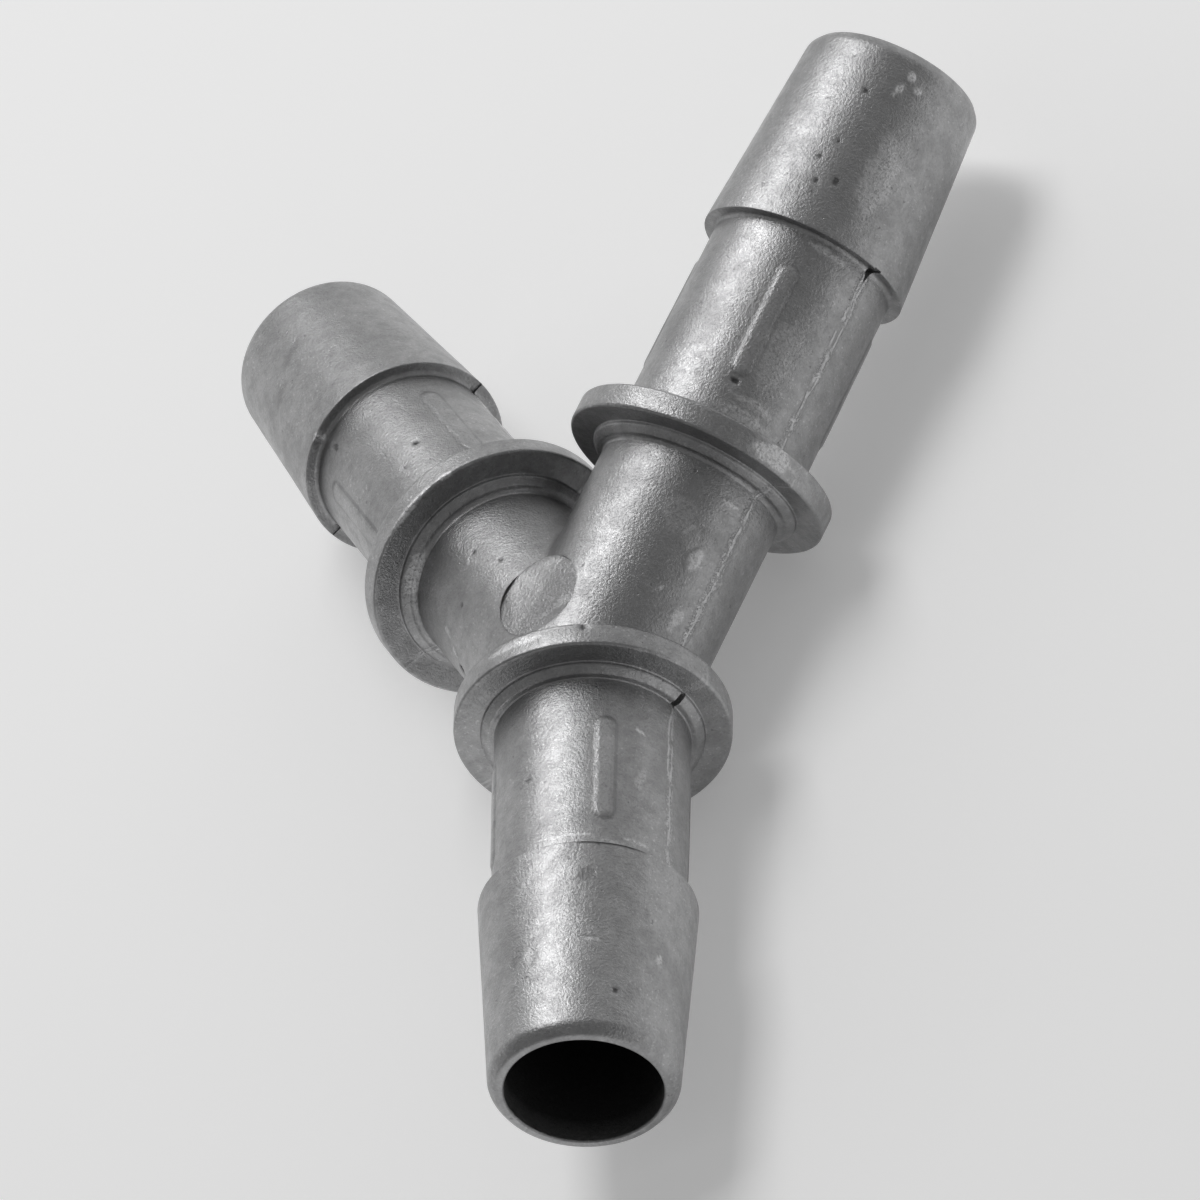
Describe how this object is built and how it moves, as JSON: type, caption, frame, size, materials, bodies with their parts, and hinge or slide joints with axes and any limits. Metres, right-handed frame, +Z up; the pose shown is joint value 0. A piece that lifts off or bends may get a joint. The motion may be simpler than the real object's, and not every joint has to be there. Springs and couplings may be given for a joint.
{
  "type": "tubing y connector",
  "caption": "Cast metal Y connector that joins a hose to two more, with a collar and a barbed spigot on each arm.",
  "frame": {"origin": "below the middle of the outline, on the surface that the three collars stand on", "axes": "+Y from the stem towards the fork, +Z up, square to the plane of the three arms, +X to the right branch"},
  "size_m": [0.0714, 0.096, 0.0224],
  "materials": {
    "cast_metal": "satin as-cast skin"
  },
  "bodies": {
    "root": {"y_connector": "cast_metal"}
  },
  "joints": []
}
